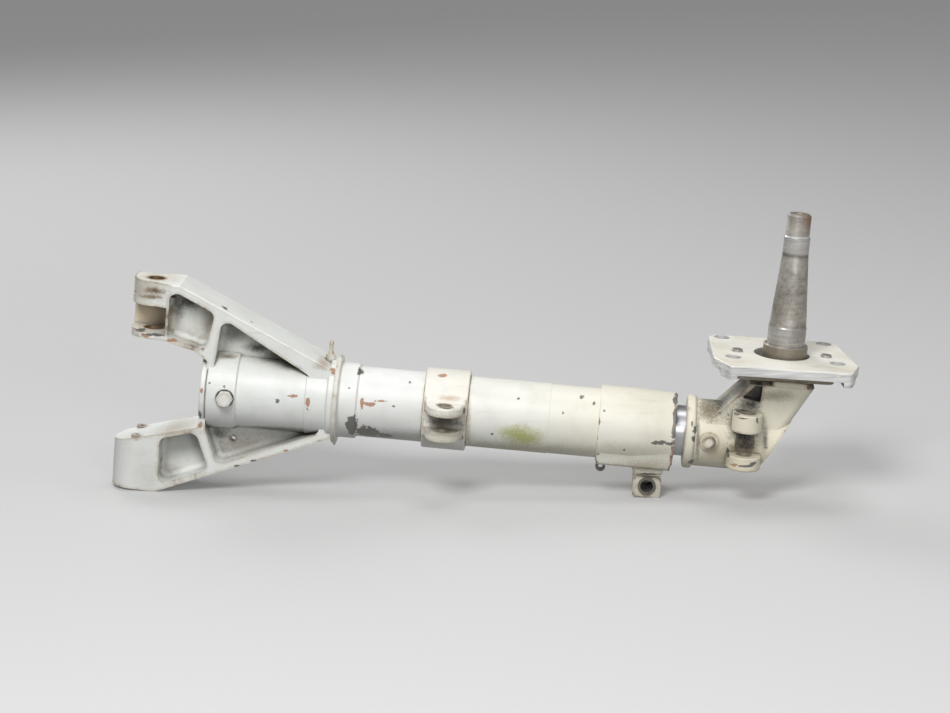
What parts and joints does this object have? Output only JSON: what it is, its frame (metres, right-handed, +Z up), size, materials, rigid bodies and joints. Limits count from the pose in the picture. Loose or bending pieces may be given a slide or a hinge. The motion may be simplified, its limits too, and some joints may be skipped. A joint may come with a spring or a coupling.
{
  "type": "main landing gear leg",
  "caption": "Landing gear leg lying on its side: forked trunnion housing, telescoping shock strut with torque link lugs, and an axle fitting with a stub axle and brake plate.",
  "frame": {"origin": "on the ground under the middle of the leg's bounding box, as it lies", "axes": "+X from the trunnion end to the wheel end, +Z up, with the stub axle standing up and the side brace lugs facing -Y"},
  "size_m": [0.7532, 0.1466, 0.2875],
  "materials": {
    "housing_paint": "white paint over primer, chipped and grimy",
    "cylinder_paint": "cream paint, scuffed, with bare patches",
    "collar_paint": "cream paint worn through at the edges",
    "fitting_paint": "cream paint, oily and chipped",
    "plate_metal": "worn white paint and bare metal edges",
    "axle_steel": "dark bare steel, polished at the bearing seats",
    "piston_chrome": "hard chrome",
    "bolt_steel": "plated fasteners",
    "painted_bolt": "painted over with the housing",
    "ring_steel": "plain steel, oiled",
    "bush_bronze": "aluminium bronze bushes",
    "inner_aluminium": "machined, unpainted",
    "seal_rubber": "black seals"
  },
  "bodies": {
    "barrel": {"trunnion_housing": "housing_paint", "fork_bushes": "bush_bronze", "foot_bush": "bush_bronze", "cylinder_tube": "cylinder_paint", "lock_ring": "collar_paint", "cylinder_head": "inner_aluminium", "head_seal": "seal_rubber", "head_bolt": "painted_bolt", "head_bolt_washers": "ring_steel", "head_bolt_nut": "bolt_steel", "filler_valve": "bolt_steel", "valve_cap": "bolt_steel", "grease_fitting": "bolt_steel", "side_brace_fitting": "collar_paint", "side_brace_bushes": "bush_bronze", "lower_collar": "collar_paint", "torque_lug_bushes": "ring_steel", "line_clip": "ring_steel", "lower_bearing": "bush_bronze", "gland_ring": "inner_aluminium", "piston_seals": "seal_rubber", "snap_ring": "ring_steel", "orifice_tube": "inner_aluminium", "orifice_plate": "ring_steel"},
    "piston_carrier": {"piston_bearing": "bush_bronze"},
    "lower_leg": {"piston_tube": "piston_chrome", "piston_snap_ring": "ring_steel", "piston_plug": "inner_aluminium", "plug_seal": "seal_rubber", "metering_pin": "inner_aluminium", "axle_fitting": "fitting_paint", "torque_ear_bushes": "bush_bronze", "fork_bolt": "bolt_steel", "fork_bolt_nut": "bolt_steel", "axle_spindle": "axle_steel", "axle_cross_pin": "bolt_steel", "brake_torque_plate": "plate_metal", "plate_bolts": "bolt_steel"}
  },
  "joints": [
    {"name": "piston_slide", "type": "slide", "parent": "barrel", "child": "piston_carrier", "axis": [0.9967, 0, -0.0817], "range_m": [-0.007, 0.165]},
    {"name": "piston_turn", "type": "hinge", "parent": "piston_carrier", "child": "lower_leg", "pos_m": [-0.03596, -0.00085, 0.08327], "axis": [0.9967, 0, -0.0817], "continuous": true}
  ]
}
